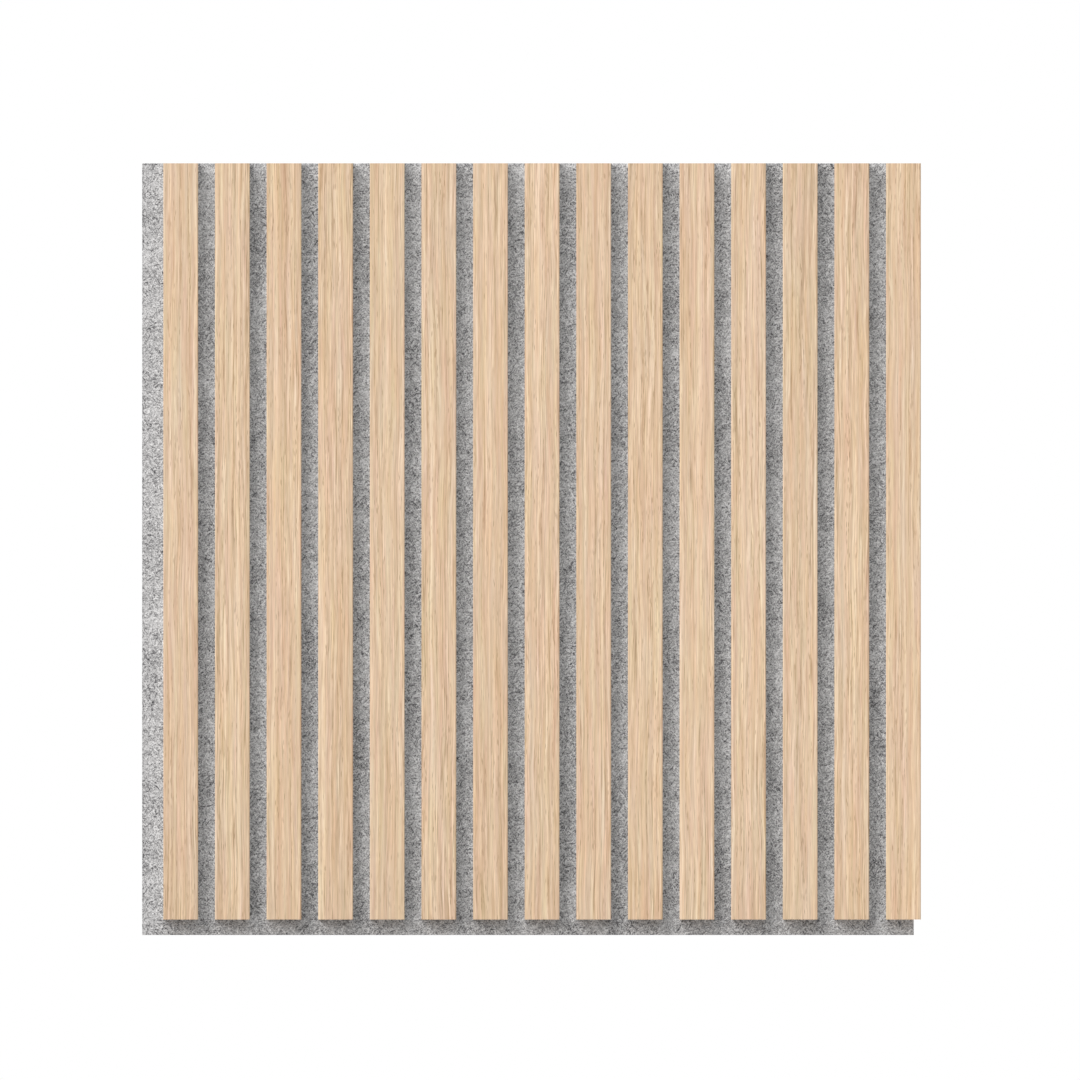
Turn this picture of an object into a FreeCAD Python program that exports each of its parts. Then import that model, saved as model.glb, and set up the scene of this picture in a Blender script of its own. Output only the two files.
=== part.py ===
"""Acoustic slat wall panel: veneer-wrapped slats stapled to a board of pressed felt.

Frame, in millimetres: +Z runs up along the slats, and +X to the right as seen from the room.
The front faces -Y. The origin is the centre of the felt's back face, which lies on the wall.
The felt stands out past the slats on the left and at the bottom, and the last slat overhangs it on
the right, so that the next panel's felt slips under the overhang and the slats run on at one pitch.
"""

import FreeCAD
import Part
import Sketcher

import math
import os

# Driving dimensions in millimetres, apart from the two counts.
DIMENSIONS = {
    "slat_count": 15,
    "slat_width": 27.0,
    "slat_gap": 13.0,
    "slat_length": 586.0,
    "slat_thickness": 12.0,
    "veneer_thickness": 0.6,
    "core_arris_radius": 0.4,
    "felt_thickness": 9.0,
    "felt_left_margin": 16.5,
    "felt_bottom_margin": 12.0,
    "slat_overhang": 5.5,
    "staples_per_slat": 4,
    "staple_end_distance": 43.0,
    "staple_crown": 10.0,
    "staple_wire_width": 1.2,
    "staple_wire_thickness": 0.9,
    "staple_bite": 5.0,
}

# Formulas over the sheet, shared by the pieces that have to line up with each other.
PITCH = "(Dimensions.slat_width + Dimensions.slat_gap)"
ROW_SPAN = f"({PITCH} * (Dimensions.slat_count - 1))"
ROW_WIDTH = f"({ROW_SPAN} + Dimensions.slat_width)"
FELT_WIDTH = f"(Dimensions.felt_left_margin + {ROW_WIDTH} - Dimensions.slat_overhang)"
FELT_HEIGHT = "(Dimensions.slat_length + Dimensions.felt_bottom_margin)"
FIRST_SLAT_INSET = "(Dimensions.felt_left_margin + Dimensions.slat_width / 2)"
FIRST_STAPLE_RISE = "(Dimensions.felt_bottom_margin + Dimensions.staple_end_distance)"
CORE_WIDTH = "(Dimensions.slat_width - 2 * Dimensions.veneer_thickness)"
CORE_DEPTH = "(Dimensions.slat_thickness - Dimensions.veneer_thickness)"
CORE_ARRIS_RADIUS = "Dimensions.core_arris_radius"
OUTER_ARRIS_RADIUS = f"({CORE_ARRIS_RADIUS} + Dimensions.veneer_thickness)"
WIRE_WIDTH = "Dimensions.staple_wire_width"
WIRE_THICKNESS = "Dimensions.staple_wire_thickness"
STAPLE_SPAN = "(Dimensions.slat_length - 2 * Dimensions.staple_end_distance)"
STAPLE_LEG = "(Dimensions.felt_thickness + Dimensions.staple_bite)"
LEG_OFFSET = f"((Dimensions.staple_crown - {WIRE_THICKNESS}) / 2)"

# The two directions in which the staples repeat, each as the formulas of its span and count.
UP_THE_SLAT = (STAPLE_SPAN, "Dimensions.staples_per_slat")
ACROSS_THE_ROW = (ROW_SPAN, "Dimensions.slat_count")

# The sketcher's own numbers: its axes count down, an edge's points count up, and its origin is the
# start point of the horizontal axis.
HORIZONTAL_AXIS, VERTICAL_AXIS = range(-1, -3, -1)
START, END = range(1, 3)
ORIGIN = HORIZONTAL_AXIS


def make_sheet(doc):
    """Writes the driving dimensions, one row each, with the name as the alias of its value."""
    sheet = doc.addObject("Spreadsheet::Sheet", "Dimensions")
    for row, (name, value) in enumerate(DIMENSIONS.items(), start=1):
        sheet.set(f"A{row}", name)
        sheet.set(f"B{row}", str(value))
        sheet.setAlias(f"B{row}", name)
    doc.recompute()


def new_body(doc, name, x, y, z):
    """A body with its own label, placed by three formulas."""
    body = doc.addObject("PartDesign::Body", name)
    body.Label = name
    for axis, formula in zip("xyz", (x, y, z)):
        body.setExpression(f"Placement.Base.{axis}", formula)
    return body


def origin_feature(body, role):
    """One of the body's own origin planes or axes."""
    return next(feature for feature in body.Origin.OriginFeatures if feature.Role == role)


def new_sketch(body, name, plane):
    """An empty sketch on one of the body's own origin planes."""
    sketch = body.newObject("Sketcher::SketchObject", f"{body.Name}_{name}")
    sketch.AttachmentSupport = [(origin_feature(body, plane), "")]
    sketch.MapMode = "FlatFace"
    return sketch


def extrude(body, kind, sketch, formula, reverse=False, symmetric=False):
    """Pads or pockets a sketch by a formula, along its plane's normal unless reversed."""
    feature = body.newObject(f"PartDesign::{kind}", f"{sketch.Name}_{kind.lower()}")
    feature.Profile = sketch
    feature.setExpression("Length", formula)
    feature.Reversed = reverse
    feature.SideType = "Symmetric" if symmetric else "One side"
    return feature


def repeat(body, features, along_z, along_x=None):
    """Repeats features along Z and, where a second span and count are given, along X as well."""
    pattern = body.newObject("PartDesign::LinearPattern", f"{body.Name}_pattern")
    pattern.Originals = features
    pattern.Direction = (origin_feature(body, "Z_Axis"), [""])
    pattern.setExpression("Length", along_z[0])
    pattern.setExpression("Occurrences", along_z[1])
    if along_x:
        pattern.Direction2 = (origin_feature(body, "X_Axis"), [""])
        pattern.setExpression("Length2", along_x[0])
        pattern.setExpression("Occurrences2", along_x[1])
    body.Tip = pattern


def dimension(sketch, name, formula, *definition):
    """Adds a dimension to a sketch and ties its value to a formula over the sheet."""
    index = sketch.addConstraint(Sketcher.Constraint(*definition, sketch.evalExpression(formula)))
    sketch.renameConstraint(index, name)
    sketch.setExpression(f"Constraints.{name}", formula)


def constrain(sketch, *definitions):
    """Adds constraints that carry no dimension."""
    for definition in definitions:
        sketch.addConstraint(Sketcher.Constraint(*definition))


def draw_lines(sketch, *points):
    """Draws straight edges from point to point, joined end to start, and returns their numbers."""
    vectors = [FreeCAD.Vector(*point, 0) for point in points]
    edges = [sketch.addGeometry(Part.LineSegment(*ends), False) for ends in zip(vectors, vectors[1:])]
    for before, after in zip(edges, edges[1:]):
        constrain(sketch, ("Coincident", before, END, after, START))
    return edges


def draw_arc(sketch, x, y, radius, start, end):
    """Draws an arc between two angles in degrees and returns its number."""
    circle = Part.Circle(FreeCAD.Vector(x, y, 0), FreeCAD.Vector(0, 0, 1), radius)
    return sketch.addGeometry(Part.ArcOfCircle(circle, math.radians(start), math.radians(end)), False)


def draw_rectangle(sketch, name, width, height, rise, inset=None):
    """A level rectangle, its centre a rise above the origin and an inset to the right, or on the axis."""
    half_width = sketch.evalExpression(width) / 2
    half_height = sketch.evalExpression(height) / 2
    x = sketch.evalExpression(inset) if inset else 0.0
    y = sketch.evalExpression(rise)
    left, right = x - half_width, x + half_width
    low, high = y - half_height, y + half_height
    bottom, side, top, other_side = draw_lines(
        sketch, (left, low), (right, low), (right, high), (left, high), (left, low))
    centre = sketch.addGeometry(Part.Point(FreeCAD.Vector(x, y, 0)), True)
    constrain(
        sketch,
        ("Coincident", other_side, END, bottom, START),
        ("Horizontal", bottom),
        ("Horizontal", top),
        ("Vertical", side),
        ("Vertical", other_side),
        ("Symmetric", bottom, START, top, START, centre, START),
    )
    dimension(sketch, f"{name}_width", width, "DistanceX", bottom, START, bottom, END)
    dimension(sketch, f"{name}_height", height, "DistanceY", side, START, side, END)
    dimension(sketch, f"{name}_rise", rise, "DistanceY", ORIGIN, START, centre, START)
    if inset:
        dimension(sketch, f"{name}_inset", inset, "DistanceX", ORIGIN, START, centre, START)
    else:
        constrain(sketch, ("PointOnObject", centre, START, VERTICAL_AXIS))


def draw_cap(sketch, name, width, depth, radius):
    """The sides and front of a slat's section, with eased arrises; returns its two ends at the back."""
    half_width = sketch.evalExpression(width) / 2
    front_y = -sketch.evalExpression(depth)
    ease = sketch.evalExpression(radius)
    arc_x = half_width - ease
    arc_y = front_y + ease
    right, = draw_lines(sketch, (half_width, 0), (half_width, arc_y))
    right_arris = draw_arc(sketch, arc_x, arc_y, ease, 270, 360)
    front, = draw_lines(sketch, (arc_x, front_y), (-arc_x, front_y))
    left_arris = draw_arc(sketch, -arc_x, arc_y, ease, 180, 270)
    left, = draw_lines(sketch, (-half_width, arc_y), (-half_width, 0))
    constrain(
        sketch,
        ("Tangent", right, END, right_arris, END),
        ("Tangent", right_arris, START, front, START),
        ("Tangent", front, END, left_arris, END),
        ("Tangent", left_arris, START, left, START),
        ("Vertical", right),
        ("Vertical", left),
        ("Horizontal", front),
        ("Equal", right_arris, left_arris),
        ("PointOnObject", right, START, HORIZONTAL_AXIS),
        ("Symmetric", right, START, left, END, VERTICAL_AXIS),
    )
    dimension(sketch, f"{name}_width", width, "DistanceX", left, END, right, START)
    dimension(sketch, f"{name}_depth", depth, "DistanceY", front, START, right, START)
    dimension(sketch, f"{name}_radius", radius, "Radius", right_arris)
    return (right, START), (left, END)


def close_cap(sketch, from_end, to_end):
    """Joins two open ends of a slat's section along its back."""
    points = [sketch.getPoint(*end) for end in (from_end, to_end)]
    edge, = draw_lines(sketch, *[(point.x, point.y) for point in points])
    constrain(sketch, ("Coincident", edge, START, *from_end), ("Coincident", edge, END, *to_end))


def draw_leg_holes(sketch, rise, inset=None):
    """The two holes of one staple's legs, an equal way above and below the middle of its crown."""
    for name, sign in (("lower_leg", "-"), ("upper_leg", "+")):
        leg_rise = f"({rise} {sign} {LEG_OFFSET})"
        draw_rectangle(sketch, name, WIRE_WIDTH, WIRE_THICKNESS, leg_rise, inset)


def slat_place(number):
    """Formulas for the foot of a slat's back face, with the slats counted from 0 at the left."""
    x = f"{FIRST_SLAT_INSET} - {FELT_WIDTH} / 2 + {number} * {PITCH}"
    z = f"Dimensions.felt_bottom_margin - {FELT_HEIGHT} / 2"
    return x, "-Dimensions.felt_thickness", z


def make_slat_core(doc, name, number):
    """The slat's fibreboard core, with blind holes in its back where the staples' legs have gone in."""
    body = new_body(doc, name, *slat_place(number))
    section = new_sketch(body, "section", "XY_Plane")
    close_cap(section, *draw_cap(section, "core", CORE_WIDTH, CORE_DEPTH, CORE_ARRIS_RADIUS))
    extrude(body, "Pad", section, "Dimensions.slat_length")
    legs = new_sketch(body, "legs", "XZ_Plane")
    draw_leg_holes(legs, "Dimensions.staple_end_distance")
    holes = extrude(body, "Pocket", legs, "Dimensions.staple_bite", reverse=True)
    repeat(body, [holes], UP_THE_SLAT)
    return body


def make_slat_veneer(doc, name, number):
    """The oak veneer, wrapped in one sheet round the core's front and both long sides."""
    body = new_body(doc, name, *slat_place(number))
    section = new_sketch(body, "section", "XY_Plane")
    width, depth = "Dimensions.slat_width", "Dimensions.slat_thickness"
    outer = draw_cap(section, "outer", width, depth, OUTER_ARRIS_RADIUS)
    inner = draw_cap(section, "inner", CORE_WIDTH, CORE_DEPTH, CORE_ARRIS_RADIUS)
    for outer_end, inner_end in zip(outer, inner):
        close_cap(section, outer_end, inner_end)
    extrude(body, "Pad", section, "Dimensions.slat_length")
    return body


def make_felt(doc):
    """The felt board, drawn from its lower left back corner, with the beds of the staples pressed in."""
    body = new_body(doc, "acoustic_felt", f"-{FELT_WIDTH} / 2", "0", f"-{FELT_HEIGHT} / 2")
    board = new_sketch(body, "board", "XZ_Plane")
    draw_rectangle(board, "board", FELT_WIDTH, FELT_HEIGHT, f"{FELT_HEIGHT} / 2", f"{FELT_WIDTH} / 2")
    extrude(body, "Pad", board, "Dimensions.felt_thickness")
    crown = new_sketch(body, "crown", "XZ_Plane")
    first_staple = (FIRST_STAPLE_RISE, FIRST_SLAT_INSET)
    draw_rectangle(crown, "crown", WIRE_WIDTH, "Dimensions.staple_crown", *first_staple)
    bed = extrude(body, "Pocket", crown, WIRE_THICKNESS, reverse=True)
    legs = new_sketch(body, "legs", "XZ_Plane")
    draw_leg_holes(legs, *first_staple)
    holes = extrude(body, "Pocket", legs, "Dimensions.felt_thickness", reverse=True)
    repeat(body, [bed, holes], UP_THE_SLAT, ACROSS_THE_ROW)
    return body


def make_staples(doc):
    """The staples, driven from the back through the felt into the cores, drawn from the first crown."""
    x, _, foot_z = slat_place(0)
    body = new_body(doc, "staples", x, "0", f"{foot_z} + Dimensions.staple_end_distance")
    bend = new_sketch(body, "bend", "YZ_Plane")
    half_crown = bend.evalExpression("Dimensions.staple_crown") / 2
    wire = bend.evalExpression(WIRE_THICKNESS)
    leg = bend.evalExpression(STAPLE_LEG)
    inside = half_crown - wire
    crown, top, top_tip, top_inside, crown_inside, low_inside, low_tip, low = draw_lines(
        bend, (0, -half_crown), (0, half_crown), (-leg, half_crown), (-leg, inside), (-wire, inside),
        (-wire, -inside), (-leg, -inside), (-leg, -half_crown), (0, -half_crown))
    constrain(
        bend,
        ("Coincident", low, END, crown, START),
        ("Symmetric", crown, START, crown, END, HORIZONTAL_AXIS),
        ("PointOnObject", crown, START, VERTICAL_AXIS),
        *[("Horizontal", edge) for edge in (top, top_inside, low_inside, low)],
        *[("Vertical", edge) for edge in (top_tip, crown_inside, low_tip)],
        ("Equal", top, low),
        ("Equal", top_tip, low_tip),
    )
    dimension(bend, "crown", "Dimensions.staple_crown", "DistanceY", crown, START, crown, END)
    dimension(bend, "leg", STAPLE_LEG, "DistanceX", top, END, top, START)
    dimension(bend, "leg_wire", WIRE_THICKNESS, "DistanceY", top_tip, END, top_tip, START)
    dimension(bend, "crown_wire", WIRE_THICKNESS, "DistanceX", crown_inside, START, top, START)
    staple = extrude(body, "Pad", bend, WIRE_WIDTH, symmetric=True)
    repeat(body, [staple], UP_THE_SLAT, ACROSS_THE_ROW)
    return body


def check(doc, bodies):
    """Stops before anything is written if a feature failed or a piece isn't a sound solid."""
    for feature in doc.Objects:
        if {"Invalid", "Error"} & set(feature.State):
            raise RuntimeError(f"{feature.Name} failed: {feature.State}")
    for body in bodies:
        if body.Shape.isNull() or not body.Shape.isValid() or not body.Shape.Solids:
            raise RuntimeError(f"{body.Label} has no sound shape")


def main():
    doc = FreeCAD.newDocument("acoustic_slat_panel")
    make_sheet(doc)
    bodies = [make_felt(doc), make_staples(doc)]
    for number in range(DIMENSIONS["slat_count"]):
        slat = f"slat_{number + 1:02d}"
        bodies.append(make_slat_core(doc, f"{slat}_core", number))
        bodies.append(make_slat_veneer(doc, f"{slat}_veneer", number))
    doc.recompute()
    check(doc, bodies)
    os.makedirs("parts", exist_ok=True)
    for body in bodies:
        body.Shape.exportStep(f"parts/{body.Label}.step")


main()
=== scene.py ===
"""Looks of the acoustic slat wall panel: oak veneer, raw fibreboard, heather felt and steel staples.

Sizes are in metres in the panel's own frame: +Z up along the slats, +X right as seen from the room and
-Y towards the room. Only the oak's grain is measured in millimetres.
"""

import math

import bmesh
import bpy
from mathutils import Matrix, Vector, noise


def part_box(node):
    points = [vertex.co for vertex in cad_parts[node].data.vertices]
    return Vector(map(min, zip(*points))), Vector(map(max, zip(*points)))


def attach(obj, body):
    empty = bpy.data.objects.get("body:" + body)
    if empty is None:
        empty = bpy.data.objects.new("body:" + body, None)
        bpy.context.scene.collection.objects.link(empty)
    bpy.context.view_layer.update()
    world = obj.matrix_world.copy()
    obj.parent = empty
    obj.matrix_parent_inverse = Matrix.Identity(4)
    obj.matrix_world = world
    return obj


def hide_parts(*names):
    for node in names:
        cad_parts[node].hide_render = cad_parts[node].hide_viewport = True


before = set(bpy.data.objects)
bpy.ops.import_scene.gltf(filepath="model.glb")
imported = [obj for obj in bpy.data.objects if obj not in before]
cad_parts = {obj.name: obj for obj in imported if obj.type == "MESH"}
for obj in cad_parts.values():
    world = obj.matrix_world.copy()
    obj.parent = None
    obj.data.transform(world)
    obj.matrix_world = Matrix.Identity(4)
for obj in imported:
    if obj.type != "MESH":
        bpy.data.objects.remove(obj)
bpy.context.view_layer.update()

MM = 0.001

# Camera: the photograph's frame and scale, and the point of the panel's frame at its middle.
FRAME_PIXELS = 1080
PIXELS_PER_METRE = 1290.5
VIEW_CENTRE = Vector((0.00936, 0.0, 0.00709))
CAMERA_DISTANCE = 3.0

# Light. The key, the fill and what the floor throws back light a face towards the room at a neutral level
# of about 1. The rear light is for the other side.
KEY_SHARE = 0.42
KEY_COLOUR = (1.02, 1.0, 0.98)
KEY_DIRECTION = Vector((1.0, 1.0, -1.0)).normalized()
KEY_ANGLE = math.radians(45)
REAR_SHARE = 0.3
REAR_COLOUR = (1.05, 1.0, 0.95)
REAR_DIRECTION = Vector((-1.0, -1.0, -1.0)).normalized()
REAR_ANGLE = math.radians(60)
FILL_LEVEL = 0.465
FILL_COLOUR = (0.97, 1.0, 1.03, 1.0)
WHITE = (1.0, 1.0, 1.0, 1.0)
FLOOR_SIZE = 12.0
FLOOR_COLOUR = (0.62, 0.62, 0.62, 1.0)
FLOOR_ROUGHNESS = 0.9

# Felt mesh: the size of its cells, finer on the front than on the back, and its soft edge.
FELT_CELL = 1.6 * MM
BACK_CELL_STEP = 4
EDGE_RADIUS = 0.5 * MM
EDGE_ROWS = 3
EDGE_DIP = 0.12 * MM
EDGE_LUMP_SIZE = 1.7 * MM

# How the felt's front dips between the slats, in lumps of two sizes, and how far from a slat that starts.
FRONT_DIP = 0.35 * MM
LUMP_SIZE = 5.0 * MM
LUMP_SHARE = 0.6
FINE_LUMP_RATIO = 2.3
FINE_LUMP_SHARE = 0.4
SEAT_REACH = 2.0 * MM

# How the felt's back dips, all over and round the staples.
BACK_DIP = 0.12 * MM
BACK_LEAST_SHARE = 0.4
BACK_LUMP_SIZE = 9.0 * MM
BACK_NOISE_LAYER = 7.0
DIMPLE_DEPTH = 0.85 * MM
DIMPLE_REACH = 5.5 * MM

# Staples: flat wire with eased edges, bent round two shoulders.
STAPLES_PER_SLAT = 4
STAPLE_CROWN = 10.0 * MM
WIRE_WIDTH = 1.2 * MM
WIRE_THICKNESS = 0.9 * MM
WIRE_BEVEL = 0.15 * MM
SHOULDER_RADIUS = 0.75 * MM
SHOULDER_STEPS = 4
SHARP_ANGLE = math.radians(50)

# Places that the frame gives.
CORES = sorted(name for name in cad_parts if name.endswith("_core"))
VENEERS = sorted(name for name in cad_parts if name.endswith("_veneer"))
slat_boxes = [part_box(name) for name in VENEERS]
felt_low, felt_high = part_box("acoustic_felt")
staples_low, staples_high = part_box("staples")
first_left, slat_front, slat_foot = slat_boxes[0][0]
slat_width = slat_boxes[0][1].x - first_left
slat_pitch = slat_boxes[1][0].x - first_left
slat_gap = slat_pitch - slat_width


def srgb(red, green, blue):
    """A linear colour from display values of 0 to 255."""
    def linear(value):
        value /= 255
        return value / 12.92 if value <= 0.04045 else ((value + 0.055) / 1.055) ** 2.4
    return linear(red), linear(green), linear(blue)


def new_material(name):
    """A new node material, with its tree and its Principled shader."""
    material = bpy.data.materials.new(name)
    material.use_nodes = True
    tree = material.node_tree
    return material, tree, tree.nodes["Principled BSDF"]


def add_node(tree, kind, sockets=None, **settings):
    """Adds a shader node; each socket takes a plain value or another node's output."""
    new = tree.nodes.new(kind)
    for name, value in settings.items():
        setattr(new, name, value)
    for key, value in (sockets or {}).items():
        if isinstance(value, bpy.types.NodeSocket):
            tree.links.new(value, new.inputs[key])
        else:
            new.inputs[key].default_value = value
    return new


def connect(tree, output, node, socket):
    """Links an output to one of a node's sockets."""
    tree.links.new(output, node.inputs[socket])


def calc(tree, operation, *values):
    """A Math node on up to three values or outputs."""
    return add_node(tree, "ShaderNodeMath", dict(enumerate(values)), operation=operation).outputs[0]


def vector_calc(tree, operation, *vectors):
    """A Vector Math node on up to three vectors or outputs."""
    sockets = dict(enumerate(vectors))
    return add_node(tree, "ShaderNodeVectorMath", sockets, operation=operation).outputs[0]


def vector_of(tree, x, y, z):
    """A vector made of three values or outputs."""
    return add_node(tree, "ShaderNodeCombineXYZ", {0: x, 1: y, 2: z}).outputs[0]


def object_place(tree):
    """The place of a point in the panel's frame."""
    return add_node(tree, "ShaderNodeTexCoord").outputs["Object"]


def noise_value(tree, place, size=1.0, detail=0.0, roughness=0.5):
    """Noise from 0 to 1, a half on average, with features of about one size."""
    sockets = {"Vector": place, "Scale": 1 / size, "Detail": detail, "Roughness": roughness}
    return add_node(tree, "ShaderNodeTexNoise", sockets).outputs[0]


def vector_noise(tree, place, size=1.0, detail=0.0, roughness=0.5):
    """Three noises about zero as a vector, with features of about one size."""
    sockets = {"Vector": place, "Scale": 1 / size, "Detail": detail, "Roughness": roughness}
    noises = add_node(tree, "ShaderNodeTexNoise", sockets).outputs["Color"]
    return vector_calc(tree, "SUBTRACT", noises, (0.5, 0.5, 0.5))


def centred(tree, value):
    """A value that was a half on average, moved to lie about zero."""
    return calc(tree, "SUBTRACT", value, 0.5)


def remap(tree, value, source, target=(0.0, 1.0)):
    """Maps one span of values smoothly onto another, with the ends held."""
    sockets = {"Value": value, "From Min": source[0], "From Max": source[1]}
    sockets |= {"To Min": target[0], "To Max": target[1]}
    return add_node(tree, "ShaderNodeMapRange", sockets, interpolation_type="SMOOTHSTEP").outputs[0]


def add_weighted(tree, start, terms):
    """A start plus each value times its weight."""
    total = start
    for value, weight in terms:
        total = calc(tree, "MULTIPLY_ADD", value, weight, total)
    return total


def ramp(tree, value, stops):
    """A colour ramp over (position, linear colour) stops."""
    new = add_node(tree, "ShaderNodeValToRGB", {0: value})
    elements = new.color_ramp.elements
    while len(elements) < len(stops):
        elements.new(0.5)
    for element, (position, colour) in zip(elements, stops):
        element.position = position
        element.color = (*colour, 1.0)
    return new.outputs[0]


def blend_colours(tree, kind, share, first, second):
    """Two colours put together by one of the Mix node's blend types."""
    sockets = {"Factor": share, "A": first, "B": second}
    return add_node(tree, "ShaderNodeMix", sockets, data_type="RGBA", blend_type=kind).outputs["Result"]


def add_bump(tree, shader, height, distance, strength):
    """Gives a shader a bump from a height of 0 to 1 over a distance in metres."""
    sockets = {"Height": height, "Distance": distance, "Strength": strength}
    connect(tree, add_node(tree, "ShaderNodeBump", sockets).outputs[0], shader, "Normal")


# Oak grain. A feature is its width and its length in millimetres, and a seed that shifts it against the
# others.
SWAY = (35.0, 100.0, 0.0)
STREAKS = (1.05, 48.0, 3.1)
LONG_STREAKS = (1.4, 600.0, 5.9)
FIBRE = (0.4, 12.0, 7.7)
FINE_FIBRE = (0.12, 9.0, 13.1)
PORES = (0.7, 8.0, 17.9)
PORE_ZONES = (3.0, 260.0, 47.3)
FLECKS = (1.1, 22.0, 23.3)
DARK_LINES = (0.8, 40.0, 37.1)
PALE_LINES = (0.9, 70.0, 43.7)
BUSY_ZONES = (5.0, 180.0, 31.9)
BANDS = (3.2, 700.0, 11.3)
HUE_DRIFT = (4.5, 110.0, 29.3)

# How far the grain sways aside in millimetres, how far apart the slats' leaves lie in the noise, and how
# many streak widths lie between a streak and its twin of the opposite tone.
SWAY_REACH = 5.0
LEAF_STEP = 13.7
TWIN_SHIFT = 2.5

# Pores and flecks: how far a mark reaches in its cell, and the share of the cells that have one. The
# heart of a mark is a share of its reach, and a share of the marks is full while the others are fainter.
PORE_REACH = 0.42
PORE_SHARE = 0.45
FLECK_REACH = 0.45
FLECK_SHARE = 0.4
MARK_HEART = 0.25
FULL_MARKS = 0.4

# What each feature adds to the oak's tone, which is 0 at its darkest and 1 at its palest.
TONE_LEVEL = 0.48
STREAK_WEIGHT = 1.0
TWIN_WEIGHT = -0.48
LONG_STREAK_WEIGHT = 0.72
FIBRE_WEIGHT = 0.54
FINE_FIBRE_WEIGHT = 0.3
PORE_WEIGHT = -0.66
FLECK_WEIGHT = 0.22
DARK_LINE_WEIGHT = -0.45
PALE_LINE_WEIGHT = 0.4
BAND_WEIGHT = 0.2

# Spans of noise over which lines, bands and zones come in, and the strengths that zones and slats give.
LINE_SPAN = (0.58, 0.8)
BAND_SPAN = (0.46, 0.76)
PORE_ZONE_SPAN = (0.4, 0.64)
PORE_ZONE_STRENGTH = (0.25, 1.3)
BUSY_SPAN = (0.3, 0.7)
BUSY_CONTRAST = (0.65, 1.35)
SLAT_CONTRAST = (0.86, 1.04)

# The oak's mean tint, what a drift towards red or towards yellow adds to its green and blue, and how far
# the slats' hues lie apart.
OAK_TINT = (1.0035, 1.0025, 0.99)
REDDER_GREEN = -0.3
REDDER_BLUE = -0.36
YELLOWER_BLUE = -0.34
SLAT_HUE = 0.08

# The oak's colours from dark to pale, the pale grey that it is to light thrown on matt surfaces, and its
# gloss and relief.
OAK_COLOURS = (
    (0.0, srgb(178, 148, 117)),
    (0.25, srgb(202, 172, 142)),
    (0.52, srgb(221, 192, 162)),
    (0.8, srgb(238, 211, 181)),
    (1.0, srgb(247, 223, 195)),
)
OAK_BOUNCE = (*srgb(219, 217, 214), 1.0)
OAK_TONE_SPAN = (0.1, 0.9)
OAK_ROUGHNESS = (0.62, 0.5)
OAK_SPECULAR = 0.3
OAK_RELIEF = 0.06 * MM
OAK_BUMP = 0.6
PORE_RELIEF = -0.5


def stretch(tree, grain, feature):
    """A grain position in a feature's own widths and lengths, shifted by its seed."""
    across, along, seed = feature
    scaled = vector_calc(tree, "MULTIPLY", grain, (1 / across, 1 / along, 1.0))
    return vector_calc(tree, "ADD", scaled, (seed, seed, seed))


def grain_noise(tree, grain, feature, detail=0.0, roughness=0.5):
    """Noise from 0 to 1 in the form of a grain feature."""
    return noise_value(tree, stretch(tree, grain, feature), detail=detail, roughness=roughness)


def grain_position(tree):
    """Millimetres across the unrolled veneer and along the slat, with each slat on a leaf of its own.

    Returns the position and the slat's number from 0.
    """
    x, y, z = add_node(tree, "ShaderNodeSeparateXYZ", {0: object_place(tree)}).outputs
    from_first = calc(tree, "SUBTRACT", x, first_left - slat_gap / 2)
    number = calc(tree, "FLOOR", calc(tree, "DIVIDE", from_first, slat_pitch))
    middle = calc(tree, "MULTIPLY_ADD", number, slat_pitch, first_left + slat_width / 2)
    from_middle = calc(tree, "SUBTRACT", x, middle)
    depth = calc(tree, "SUBTRACT", y, slat_front)
    across = calc(tree, "MULTIPLY_ADD", calc(tree, "SIGN", from_middle), depth, from_middle)
    across = calc(tree, "DIVIDE", across, MM)
    along = calc(tree, "DIVIDE", z, MM)
    leaf = calc(tree, "MULTIPLY", number, LEAF_STEP)
    straight = vector_of(tree, across, along, leaf)
    sway = centred(tree, grain_noise(tree, straight, SWAY, detail=1.0))
    across = calc(tree, "MULTIPLY_ADD", sway, SWAY_REACH, across)
    return vector_of(tree, across, along, leaf), number


def tick_marks(tree, grain, feature, reach, share):
    """Short marks in some of a feature's cells: 1 at the heart of a full mark and 0 away from marks."""
    sockets = {"Vector": stretch(tree, grain, feature), "Scale": 1.0, "Randomness": 1.0}
    cells = add_node(tree, "ShaderNodeTexVoronoi", sockets, voronoi_dimensions="3D", feature="F1")
    mark = remap(tree, cells.outputs["Distance"], (reach, reach * MARK_HEART))
    pick = add_node(tree, "ShaderNodeSeparateColor", {0: cells.outputs["Color"]}).outputs[0]
    present = remap(tree, pick, (1 - share, 1 - share * FULL_MARKS))
    return calc(tree, "MULTIPLY", mark, present)


def oak_pores(tree, grain):
    """Short dark pores, thick in some zones and thin in others."""
    pores = tick_marks(tree, grain, PORES, PORE_REACH, PORE_SHARE)
    zones = grain_noise(tree, grain, PORE_ZONES, detail=1.0)
    return calc(tree, "MULTIPLY", pores, remap(tree, zones, PORE_ZONE_SPAN, PORE_ZONE_STRENGTH))


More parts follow.
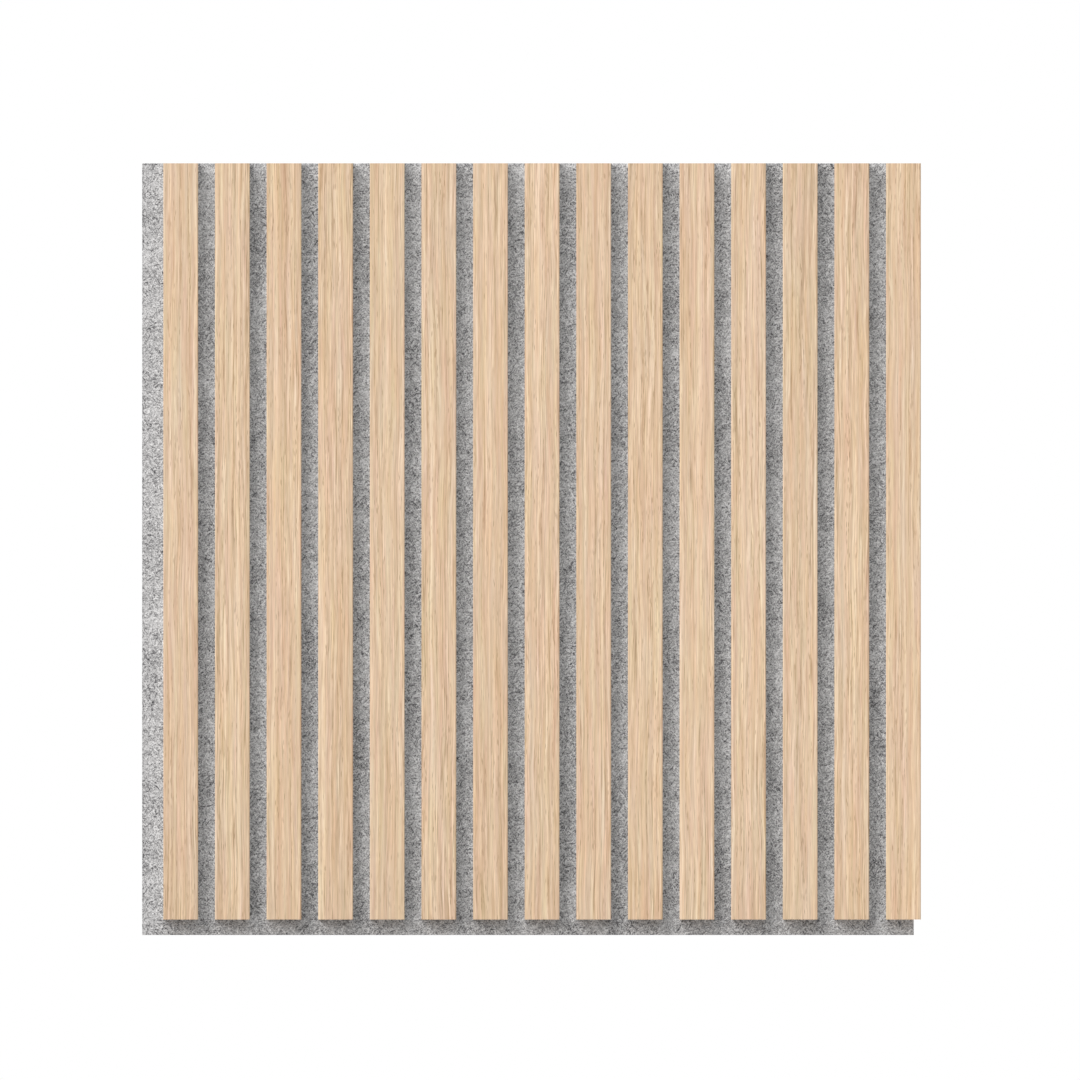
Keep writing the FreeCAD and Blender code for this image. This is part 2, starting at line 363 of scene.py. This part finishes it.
def oak_tone(tree, grain, number, pores, fibre):
    """How pale the oak is: all that is in the grain, with every second slat calmer than the next."""
    streak_place = stretch(tree, grain, STREAKS)
    twin_place = vector_calc(tree, "ADD", streak_place, (TWIN_SHIFT, 0.0, 0.0))
    streaks = noise_value(tree, streak_place, detail=2.0, roughness=0.6)
    twins = noise_value(tree, twin_place, detail=2.0, roughness=0.6)
    long_streaks = grain_noise(tree, grain, LONG_STREAKS, detail=1.0)
    fine_fibre = grain_noise(tree, grain, FINE_FIBRE)
    dark_lines = grain_noise(tree, grain, DARK_LINES, detail=1.0)
    pale_lines = grain_noise(tree, grain, PALE_LINES, detail=1.0)
    tone = add_weighted(tree, 0.0, (
        (pores, PORE_WEIGHT),
        (tick_marks(tree, grain, FLECKS, FLECK_REACH, FLECK_SHARE), FLECK_WEIGHT),
        (remap(tree, dark_lines, LINE_SPAN), DARK_LINE_WEIGHT),
        (remap(tree, pale_lines, LINE_SPAN), PALE_LINE_WEIGHT),
        (centred(tree, streaks), STREAK_WEIGHT),
        (centred(tree, twins), TWIN_WEIGHT),
        (centred(tree, long_streaks), LONG_STREAK_WEIGHT),
        (centred(tree, fibre), FIBRE_WEIGHT),
        (centred(tree, fine_fibre), FINE_FIBRE_WEIGHT),
    ))
    busy = grain_noise(tree, grain, BUSY_ZONES, detail=1.0)
    tone = calc(tree, "MULTIPLY", tone, remap(tree, busy, BUSY_SPAN, BUSY_CONTRAST))
    every_second = calc(tree, "MODULO", number, 2.0)
    contrast = remap(tree, every_second, (0.0, 1.0), SLAT_CONTRAST)
    tone = calc(tree, "MULTIPLY_ADD", tone, contrast, TONE_LEVEL)
    bands = grain_noise(tree, grain, BANDS, detail=1.0)
    return calc(tree, "MULTIPLY_ADD", remap(tree, bands, BAND_SPAN), BAND_WEIGHT, tone)


def oak_tint(tree, grain, number):
    """Drifts of hue towards red and towards yellow, in the grain and from slat to slat."""
    drift = vector_noise(tree, stretch(tree, grain, HUE_DRIFT), detail=2.0, roughness=0.7)
    own = add_node(tree, "ShaderNodeTexWhiteNoise", {"W": number}, noise_dimensions="1D").outputs["Color"]
    own = vector_calc(tree, "SUBTRACT", own, (0.5, 0.5, 0.5))
    hue = vector_calc(tree, "MULTIPLY_ADD", own, (SLAT_HUE, SLAT_HUE, SLAT_HUE), drift)
    redder, yellower = add_node(tree, "ShaderNodeSeparateXYZ", {0: hue}).outputs[:2]
    green = calc(tree, "MULTIPLY_ADD", redder, REDDER_GREEN, OAK_TINT[1])
    blue = add_weighted(tree, OAK_TINT[2], ((redder, REDDER_BLUE), (yellower, YELLOWER_BLUE)))
    return vector_of(tree, OAK_TINT[0], green, blue)


def oak_colour(tree, grain, number, tone):
    """The colour of a tone, tinted by the drifts of hue.

    It lights other matt surfaces as a pale grey would, so that it casts no warm light on the felt.
    """
    colour = ramp(tree, tone, OAK_COLOURS)
    colour = blend_colours(tree, "MULTIPLY", 1.0, colour, oak_tint(tree, grain, number))
    bounced = add_node(tree, "ShaderNodeLightPath").outputs["Is Diffuse Ray"]
    return blend_colours(tree, "MIX", bounced, colour, OAK_BOUNCE)


def make_oak():
    """Matt-lacquered oak veneer: long streaks, short dark pores, pale flecks, drifts of tone and hue."""
    material, tree, shader = new_material("oak_veneer")
    grain, number = grain_position(tree)
    pores = oak_pores(tree, grain)
    fibre = grain_noise(tree, grain, FIBRE, detail=1.0, roughness=0.6)
    tone = oak_tone(tree, grain, number, pores, fibre)
    connect(tree, oak_colour(tree, grain, number, tone), shader, "Base Color")
    connect(tree, remap(tree, tone, OAK_TONE_SPAN, OAK_ROUGHNESS), shader, "Roughness")
    shader.inputs["Specular IOR Level"].default_value = OAK_SPECULAR
    add_bump(tree, shader, calc(tree, "MULTIPLY_ADD", pores, PORE_RELIEF, fibre), OAK_RELIEF, OAK_BUMP)
    return material


# Fibreboard: wood dust in clouds.
DUST_SIZE = 0.7 * MM
DUST_CLOUD_SIZE = 7.0 * MM
DUST_CLOUD_WEIGHT = 0.4
FIBREBOARD_COLOURS = (
    (0.25, srgb(146, 117, 86)),
    (0.5, srgb(184, 154, 119)),
    (0.75, srgb(210, 184, 150)),
)
FIBREBOARD_ROUGHNESS = 0.9
FIBREBOARD_SPECULAR = 0.2
FIBREBOARD_RELIEF = 0.12 * MM
FIBREBOARD_BUMP = 0.5


def make_fibreboard():
    """Raw sawn fibreboard: brown, with pale and dark wood dust pressed together."""
    material, tree, shader = new_material("mdf_core")
    place = object_place(tree)
    dust = noise_value(tree, place, DUST_SIZE, detail=3.0, roughness=0.7)
    clouds = noise_value(tree, place, DUST_CLOUD_SIZE, detail=2.0)
    tone = calc(tree, "MULTIPLY_ADD", centred(tree, clouds), DUST_CLOUD_WEIGHT, dust)
    connect(tree, ramp(tree, tone, FIBREBOARD_COLOURS), shader, "Base Color")
    shader.inputs["Roughness"].default_value = FIBREBOARD_ROUGHNESS
    shader.inputs["Specular IOR Level"].default_value = FIBREBOARD_SPECULAR
    add_bump(tree, shader, dust, FIBREBOARD_RELIEF, FIBREBOARD_BUMP)
    return material


# Felt fibres: the angles in degrees at which they lie in the board's plane, their thickness and length.
STRANDS = ((20, 68, 112, 158), 0.58 * MM, 3.8 * MM)
WISPS = ((38, 82, 142), 0.75 * MM, 11.0 * MM)
HAIRS = ((5, 50, 95, 140), 0.16 * MM, 3.0 * MM)
STRAND_FADE = 0.22
WISP_SPARSENESS = 0.1
CURL_SIZE = 5.0 * MM
CURL_REACH = 1.6 * MM

# Sizes of the felt's speckle, of patches with strong or weak strands, and of clouds and drifts of tone.
SPECKLE_SIZE = 1.25 * MM
PATCH_SIZE = 10.0 * MM
CLOUD_SIZE = 18.0 * MM
DRIFT_SIZE = 60.0 * MM
PATCH_SPAN = (0.25, 0.75)
STRAND_STRENGTH = (0.2, 0.42)

# What each of them adds to the felt's tone, which is 0 at its darkest and 1 at its palest.
FELT_LEVEL = 0.52
STRAND_WEIGHT = 1.0
WISP_WEIGHT = 0.36
HAIR_WEIGHT = 0.16
SPECKLE_WEIGHT = 0.93
CLOUD_WEIGHT = 0.42
DRIFT_WEIGHT = 0.25

FELT_COLOURS = (
    (0.0, srgb(83, 82, 84)),
    (0.25, srgb(141, 140, 141)),
    (0.5, srgb(185, 184, 184)),
    (0.75, srgb(213, 212, 212)),
    (1.0, srgb(234, 233, 233)),
)
FELT_ROUGHNESS = 0.95
FELT_SPECULAR = 0.1
FELT_SHEEN = 0.05
FELT_RELIEF = 0.25 * MM
FELT_BUMP = 0.6


def bend(tree, place, size, reach):
    """A place moved about by noise of one size, so that what is drawn there curls."""
    moves = vector_noise(tree, place, size)
    return vector_calc(tree, "MULTIPLY_ADD", moves, (2 * reach, 2 * reach, 2 * reach), place)


def tangle(tree, place, fibres, sparseness=0.0, detail=0.0):
    """Fibres that cross in the board's plane: 1 on a pale one, -1 on a dark one and 0 between them."""
    angles, thickness, length = fibres
    pale_start = 0.5 + sparseness
    dark_start = 0.5 - sparseness
    pale = 0.0
    dark = 0.0
    for angle in angles:
        # The shift gives the fibres at each angle a noise of their own.
        turned = add_node(tree, "ShaderNodeMapping", {
            "Vector": place,
            "Location": (angle * thickness, angle * MM, angle * thickness),
            "Rotation": (0.0, math.radians(angle), 0.0),
            "Scale": (thickness, thickness, length),
        }, vector_type="TEXTURE").outputs[0]
        strands = noise_value(tree, turned, detail=detail)
        pale = calc(tree, "MAXIMUM", pale, remap(tree, strands, (pale_start, pale_start + STRAND_FADE)))
        dark = calc(tree, "MAXIMUM", dark, remap(tree, strands, (dark_start, dark_start - STRAND_FADE)))
    return calc(tree, "SUBTRACT", pale, dark)


def make_felt_material():
    """Heather felt: pale and dark polyester fibres pressed together, cloudy over a few centimetres."""
    material, tree, shader = new_material("felt")
    place = object_place(tree)
    bent = bend(tree, place, CURL_SIZE, CURL_REACH)
    patches = noise_value(tree, place, PATCH_SIZE, detail=1.0)
    strands = tangle(tree, bent, STRANDS, detail=1.0)
    strands = calc(tree, "MULTIPLY", strands, remap(tree, patches, PATCH_SPAN, STRAND_STRENGTH))
    speckle = noise_value(tree, place, SPECKLE_SIZE, detail=2.0, roughness=0.6)
    clouds = noise_value(tree, place, CLOUD_SIZE, detail=3.0)
    drift = noise_value(tree, place, DRIFT_SIZE, detail=1.0)
    tone = add_weighted(tree, FELT_LEVEL, (
        (strands, STRAND_WEIGHT),
        (tangle(tree, bent, WISPS, sparseness=WISP_SPARSENESS), WISP_WEIGHT),
        (tangle(tree, bent, HAIRS), HAIR_WEIGHT),
        (centred(tree, speckle), SPECKLE_WEIGHT),
        (centred(tree, clouds), CLOUD_WEIGHT),
        (centred(tree, drift), DRIFT_WEIGHT),
    ))
    connect(tree, ramp(tree, tone, FELT_COLOURS), shader, "Base Color")
    shader.inputs["Roughness"].default_value = FELT_ROUGHNESS
    shader.inputs["Specular IOR Level"].default_value = FELT_SPECULAR
    shader.inputs["Sheen Weight"].default_value = FELT_SHEEN
    add_bump(tree, shader, strands, FELT_RELIEF, FELT_BUMP)
    return material


# Steel: the width and length of the lines that drawing leaves along the wire, and what they do to it.
DRAWN_LINE_WIDTH = MM / 6
DRAWN_LINE_LENGTH = 2.0 * MM
DRAWN_LINE_SPAN = (0.3, 0.7)
STEEL_COLOURS = (
    (0.3, (0.2, 0.2, 0.2)),
    (0.7, (0.36, 0.36, 0.35)),
)
STEEL_ROUGHNESS = (0.28, 0.42)


def make_steel():
    """Galvanised staple wire, fairly dark, with fine drawn lines."""
    material, tree, shader = new_material("staple_steel")
    scale = (1 / DRAWN_LINE_WIDTH, 1 / DRAWN_LINE_WIDTH, 1 / DRAWN_LINE_LENGTH)
    place = vector_calc(tree, "MULTIPLY", object_place(tree), scale)
    lines = noise_value(tree, place, detail=2.0)
    connect(tree, ramp(tree, lines, STEEL_COLOURS), shader, "Base Color")
    connect(tree, remap(tree, lines, DRAWN_LINE_SPAN, STEEL_ROUGHNESS), shader, "Roughness")
    shader.inputs["Metallic"].default_value = 1.0
    return material


def new_piece(name, vertices, faces, material, slot, *nodes):
    """A smooth closed mesh on the panel's one body, standing for some solids."""
    mesh = bpy.data.meshes.new(name)
    mesh.from_pydata(vertices, [], faces)
    shape = bmesh.new()
    shape.from_mesh(mesh)
    bmesh.ops.recalc_face_normals(shape, faces=shape.faces)
    shape.to_mesh(mesh)
    shape.free()
    mesh.polygons.foreach_set("use_smooth", [True] * len(mesh.polygons))
    mesh.materials.append(material)
    piece = bpy.data.objects.new(name, mesh)
    bpy.context.scene.collection.objects.link(piece)
    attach(piece, "root")
    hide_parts(*nodes)
    return piece


def bridge(ring, next_ring):
    """The faces between two rings of as many vertices."""
    faces = []
    for k in range(len(ring)):
        step = (k + 1) % len(ring)
        faces.append((ring[k], next_ring[k], next_ring[step], ring[step]))
    return faces


def staple_places():
    """The middle of each staple's crown, seen from behind, as x and z."""
    lowest = staples_low.z + STAPLE_CROWN / 2
    rise = (staples_high.z - staples_low.z - STAPLE_CROWN) / (STAPLES_PER_SLAT - 1)
    middles = [(low.x + high.x) / 2 for low, high in slat_boxes]
    return [(x, lowest + rise * row) for x in middles for row in range(STAPLES_PER_SLAT)]


def wire_section():
    """The corners of the staple wire's section: across the wire, and out from its centre line."""
    across = WIRE_WIDTH / 2
    out = WIRE_THICKNESS / 2
    corner = [(across, out - WIRE_BEVEL), (across - WIRE_BEVEL, out)]
    upper = corner + [(-x, y) for x, y in reversed(corner)]
    return upper + [(-x, -y) for x, y in upper]


def bent_wire_path():
    """One staple's centre line from tip to tip: z, y and the angle that its outer side faces."""
    half = (STAPLE_CROWN - WIRE_THICKNESS) / 2
    bend_y = staples_high.y - WIRE_THICKNESS / 2 - SHOULDER_RADIUS
    path = [(-half, staples_low.y, math.pi)]
    for side, first, last in ((-1, math.pi, math.pi / 2), (1, math.pi / 2, 0.0)):
        for step in range(SHOULDER_STEPS + 1):
            angle = first + (last - first) * step / SHOULDER_STEPS
            z = side * (half - SHOULDER_RADIUS) + SHOULDER_RADIUS * math.cos(angle)
            path.append((z, bend_y + SHOULDER_RADIUS * math.sin(angle), angle))
    path.append((half, staples_low.y, 0.0))
    return path


def make_staples(material):
    """The staples, as bent wire with closed tips."""
    section = wire_section()
    path = bent_wire_path()
    vertices = []
    faces = []
    for x, z in staple_places():
        rings = []
        for path_z, path_y, angle in path:
            rings.append(range(len(vertices), len(vertices) + len(section)))
            for side, out in section:
                y = path_y + out * math.sin(angle)
                vertices.append((x + side, y, z + path_z + out * math.cos(angle)))
        for ring, next_ring in zip(rings, rings[1:]):
            faces += bridge(ring, next_ring)
        faces += [tuple(rings[0]), tuple(rings[-1])]
    staples = new_piece("staple_wires", vertices, faces, material, "steel", "staples")
    staples.data.set_sharp_from_angle(angle=SHARP_ANGLE)


def divide(start, end, cell):
    """Places from start up to but without end, in equal steps of about one cell."""
    count = max(1, round((end - start) / cell))
    return [start + (end - start) * k / count for k in range(count)]


def smooth_step(value):
    """An even rise from 0 to 1 that starts and ends gently, with the ends held."""
    value = min(max(value, 0.0), 1.0)
    return value * value * (3 - 2 * value)


def felt_grid():
    """The felt's columns and rows, the columns that each slat covers, and the row at the slats' feet."""
    left, right = felt_low.x + EDGE_RADIUS, felt_high.x - EDGE_RADIUS
    bottom, top = felt_low.z + EDGE_RADIUS, felt_high.z - EDGE_RADIUS
    columns = divide(left, first_left, FELT_CELL)
    covered = []
    for low, high in slat_boxes:
        first = len(columns)
        columns += divide(low.x, min(high.x, right), FELT_CELL)
        covered.append((first, len(columns)))
        if high.x < right:
            columns += divide(high.x, low.x + slat_pitch, FELT_CELL)
    columns.append(right)
    rows = divide(bottom, slat_foot, FELT_CELL)
    foot_row = len(rows)
    rows += divide(slat_foot, top, FELT_CELL) + [top]
    return columns, rows, covered, foot_row


def way_to_slat(x, z):
    """How far a point on the felt's front lies from the nearest slat's footprint."""
    beside = (x - first_left) % slat_pitch
    across = max(0.0, min(beside - slat_width, slat_pitch - beside))
    if x < first_left:
        across = first_left - x
    return math.hypot(across, max(slat_foot - z, 0.0))


def front_dip(x, z):
    """How far the felt's front lies below its nominal face: unevenly, and not where a slat sits."""
    place = Vector((x, 0.0, z)) / LUMP_SIZE
    lumps = LUMP_SHARE * noise.noise(place) + FINE_LUMP_SHARE * noise.noise(place * FINE_LUMP_RATIO)
    uneven = min(max(0.5 + lumps, 0.0), 1.0)
    return FRONT_DIP * uneven * smooth_step(way_to_slat(x, z) / SEAT_REACH)


def back_dip(x, z, places):
    """How far the felt's back lies before the wall plane: a little all over, more round each staple."""
    uneven = 0.5 + 0.5 * noise.noise(Vector((x, BACK_NOISE_LAYER, z)) / BACK_LUMP_SIZE)
    away = min(
        math.hypot(x - staple_x, max(abs(z - staple_z) - STAPLE_CROWN / 2, 0.0))
        for staple_x, staple_z in places
    )
    return BACK_DIP * (BACK_LEAST_SHARE + uneven) + DIMPLE_DEPTH * smooth_step(1 - away / DIMPLE_REACH)


def edge_profile():
    """The felt's edge from front to back, as steps outwards and places in depth."""
    turn = [math.pi / 2 * step / EDGE_ROWS for step in range(1, EDGE_ROWS + 1)]
    arc = [(EDGE_RADIUS * math.sin(angle), EDGE_RADIUS * (1 - math.cos(angle))) for angle in turn]
    front = [(out, felt_low.y + depth) for out, depth in arc]
    back = [(out, felt_high.y - depth) for out, depth in reversed(arc)]
    middle = [(EDGE_RADIUS, y) for y in divide(front[-1][1], back[0][1], FELT_CELL)[1:]]
    return front + middle + back


def grid_points(vertices, known, place_of):
    """A function that numbers grid points, and adds a point's vertex when it is first asked for."""
    def number(i, j):
        if (i, j) not in known:
            known[i, j] = len(vertices)
            vertices.append(place_of(i, j))
        return known[i, j]
    return number


def rim_points(last_column, last_row):
    """The grid points round the felt's rim, in order."""
    points = [(i, 0) for i in range(last_column)]
    points += [(last_column, j) for j in range(last_row)]
    points += [(i, last_row) for i in range(last_column, 0, -1)]
    points += [(0, j) for j in range(last_row, 0, -1)]
    return points


def front_faces(point, last_column, last_row, covered, foot_row):
    """The felt's front: single cells where it shows, and one wide cell to each row under a slat."""
    hidden = {column for first, last in covered for column in range(first, last)}
    faces = []
    for j in range(last_row):
        for i in range(last_column):
            if j < foot_row or i not in hidden:
                faces.append([point(i, j), point(i + 1, j), point(i + 1, j + 1), point(i, j + 1)])
        if j >= foot_row:
            for first, last in covered:
                below = range(first, last + 1) if j == foot_row else (first, last)
                above = range(first, last + 1) if j == last_row - 1 else (first, last)
                faces.append([point(i, j) for i in below] + [point(i, j + 1) for i in reversed(above)])
    return faces


def add_edge_ring(vertices, columns, rows, rim, out, y):
    """Adds a slightly uneven ring of vertices round the felt's edge, and gives their numbers."""
    ring = []
    for i, j in rim:
        x, z = columns[i], rows[j]
        way_x = (i == len(columns) - 1) - (i == 0)
        way_z = (j == len(rows) - 1) - (j == 0)
        reach = out - EDGE_DIP * (0.5 + noise.noise(Vector((x, y, z)) / EDGE_LUMP_SIZE))
        ring.append(len(vertices))
        vertices.append((x + way_x * reach, y, z + way_z * reach))
    return ring


def back_lines(lines, middles, reach):
    """Which of the felt's grid lines cross its back: all of them near a staple, and few elsewhere."""
    last = len(lines) - 1
    inner = range(BACK_CELL_STEP, last - 1)
    near = {k for k in inner if any(abs(lines[k] - middle) < reach for middle in middles)}
    return sorted(near | set(inner[::BACK_CELL_STEP]) | {0, last})


def back_faces(point, columns, rows, places):
    """The felt's back: cells that take in every point of the rim where they meet it."""
    last_column, last_row = len(columns) - 1, len(rows) - 1
    wide_columns = back_lines(columns, {x for x, z in places}, DIMPLE_REACH)
    wide_rows = back_lines(rows, {z for x, z in places}, DIMPLE_REACH + STAPLE_CROWN / 2)
    faces = []
    for j0, j1 in zip(wide_rows, wide_rows[1:]):
        for i0, i1 in zip(wide_columns, wide_columns[1:]):
            below = range(i0, i1) if j0 == 0 else (i0,)
            right = range(j0, j1) if i1 == last_column else (j0,)
            above = range(i1, i0, -1) if j1 == last_row else (i1,)
            left = range(j1, j0, -1) if i0 == 0 else (j1,)
            outline = [(i, j0) for i in below] + [(i1, j) for j in right]
            outline += [(i, j1) for i in above] + [(i0, j) for j in left]
            faces.append([point(i, j) for i, j in reversed(outline)])
    return faces


def make_felt(material):
    """The felt board: uneven between the slats, flat under them, with a soft edge and dimples behind."""
    columns, rows, covered, foot_row = felt_grid()
    last_column, last_row = len(columns) - 1, len(rows) - 1
    places = staple_places()
    vertices = []

    def front_place(i, j):
        x, z = columns[i], rows[j]
        return x, felt_low.y + front_dip(x, z), z

    def back_place(i, j):
        x, z = columns[i], rows[j]
        return x, felt_high.y - back_dip(x, z, places), z

    front_point = grid_points(vertices, {}, front_place)
    faces = front_faces(front_point, last_column, last_row, covered, foot_row)
    rim = rim_points(last_column, last_row)
    ring = [front_point(i, j) for i, j in rim]
    for out, y in edge_profile():
        next_ring = add_edge_ring(vertices, columns, rows, rim, out, y)
        faces += bridge(ring, next_ring)
        ring = next_ring
    back_point = grid_points(vertices, dict(zip(rim, ring)), back_place)
    faces += back_faces(back_point, columns, rows, places)
    new_piece("felt_board", vertices, faces, material, "felt", "acoustic_felt")


def dress(names, material):
    """Gives solids that keep their own shape a new material."""
    for name in names:
        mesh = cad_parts[name].data
        mesh.materials.clear()
        mesh.materials.append(material)


def make_camera():
    """A camera straight in front, with no perspective, as in the photograph."""
    camera = bpy.data.cameras.new("camera")
    camera.type = "ORTHO"
    camera.ortho_scale = FRAME_PIXELS / PIXELS_PER_METRE
    stand = bpy.data.objects.new("camera", camera)
    stand.location = VIEW_CENTRE + Vector((0.0, -CAMERA_DISTANCE, 0.0))
    stand.rotation_euler = (math.pi / 2, 0.0, 0.0)
    bpy.context.scene.collection.objects.link(stand)
    bpy.context.scene.camera = stand


def make_world():
    """Even fill light, and plain white where the camera or a shiny surface looks past the panel."""
    world = bpy.data.worlds.new("studio")
    world.use_nodes = True
    bpy.context.scene.world = world
    tree = world.node_tree
    fill = tree.nodes["Background"]
    fill.inputs["Color"].default_value = FILL_COLOUR
    fill.inputs["Strength"].default_value = FILL_LEVEL
    white = add_node(tree, "ShaderNodeBackground", {"Color": WHITE, "Strength": 1.0})
    rays = add_node(tree, "ShaderNodeLightPath").outputs
    seen = calc(tree, "MAXIMUM", rays["Is Camera Ray"], rays["Is Glossy Ray"])
    seen = calc(tree, "MAXIMUM", seen, rays["Is Transmission Ray"])
    mixed = add_node(tree, "ShaderNodeMixShader", {0: seen, 1: fill.outputs[0], 2: white.outputs[0]})
    connect(tree, mixed.outputs[0], tree.nodes["World Output"], "Surface")


def make_light(name, direction, angle, share, colour):
    """A broad soft light, with its share of the light on an upright face that it meets."""
    lamp = bpy.data.lights.new(name, "SUN")
    lamp.angle = angle
    lamp.color = colour
    lamp.energy = share * math.pi / abs(direction.y)
    stand = bpy.data.objects.new(name, lamp)
    stand.rotation_mode = "QUATERNION"
    stand.rotation_quaternion = direction.to_track_quat("-Z", "Y")
    bpy.context.scene.collection.objects.link(stand)


def make_floor():
    """A plain pale floor under the panel's lower edge, clear to a camera below it."""
    half = FLOOR_SIZE / 2
    corners = [(-half, -half), (half, -half), (half, half), (-half, half)]
    mesh = bpy.data.meshes.new("floor")
    mesh.from_pydata([(x, y, felt_low.z) for x, y in corners], [], [(0, 1, 2, 3)])
    material, tree, shader = new_material("floor")
    shader.inputs["Base Color"].default_value = FLOOR_COLOUR
    shader.inputs["Roughness"].default_value = FLOOR_ROUGHNESS
    underside = add_node(tree, "ShaderNodeNewGeometry").outputs["Backfacing"]
    clear = add_node(tree, "ShaderNodeBsdfTransparent").outputs[0]
    mixed = add_node(tree, "ShaderNodeMixShader", {0: underside, 1: shader.outputs[0], 2: clear})
    connect(tree, mixed.outputs[0], tree.nodes["Material Output"], "Surface")
    mesh.materials.append(material)
    floor = bpy.data.objects.new("floor", mesh)
    bpy.context.scene.collection.objects.link(floor)


bpy.context.scene.view_settings.view_transform = "Standard"
make_camera()
make_world()
make_light("key", KEY_DIRECTION, KEY_ANGLE, KEY_SHARE, KEY_COLOUR)
make_light("rear", REAR_DIRECTION, REAR_ANGLE, REAR_SHARE, REAR_COLOUR)
make_floor()
dress(VENEERS, make_oak())
dress(CORES, make_fibreboard())
make_felt(make_felt_material())
make_staples(make_steel())
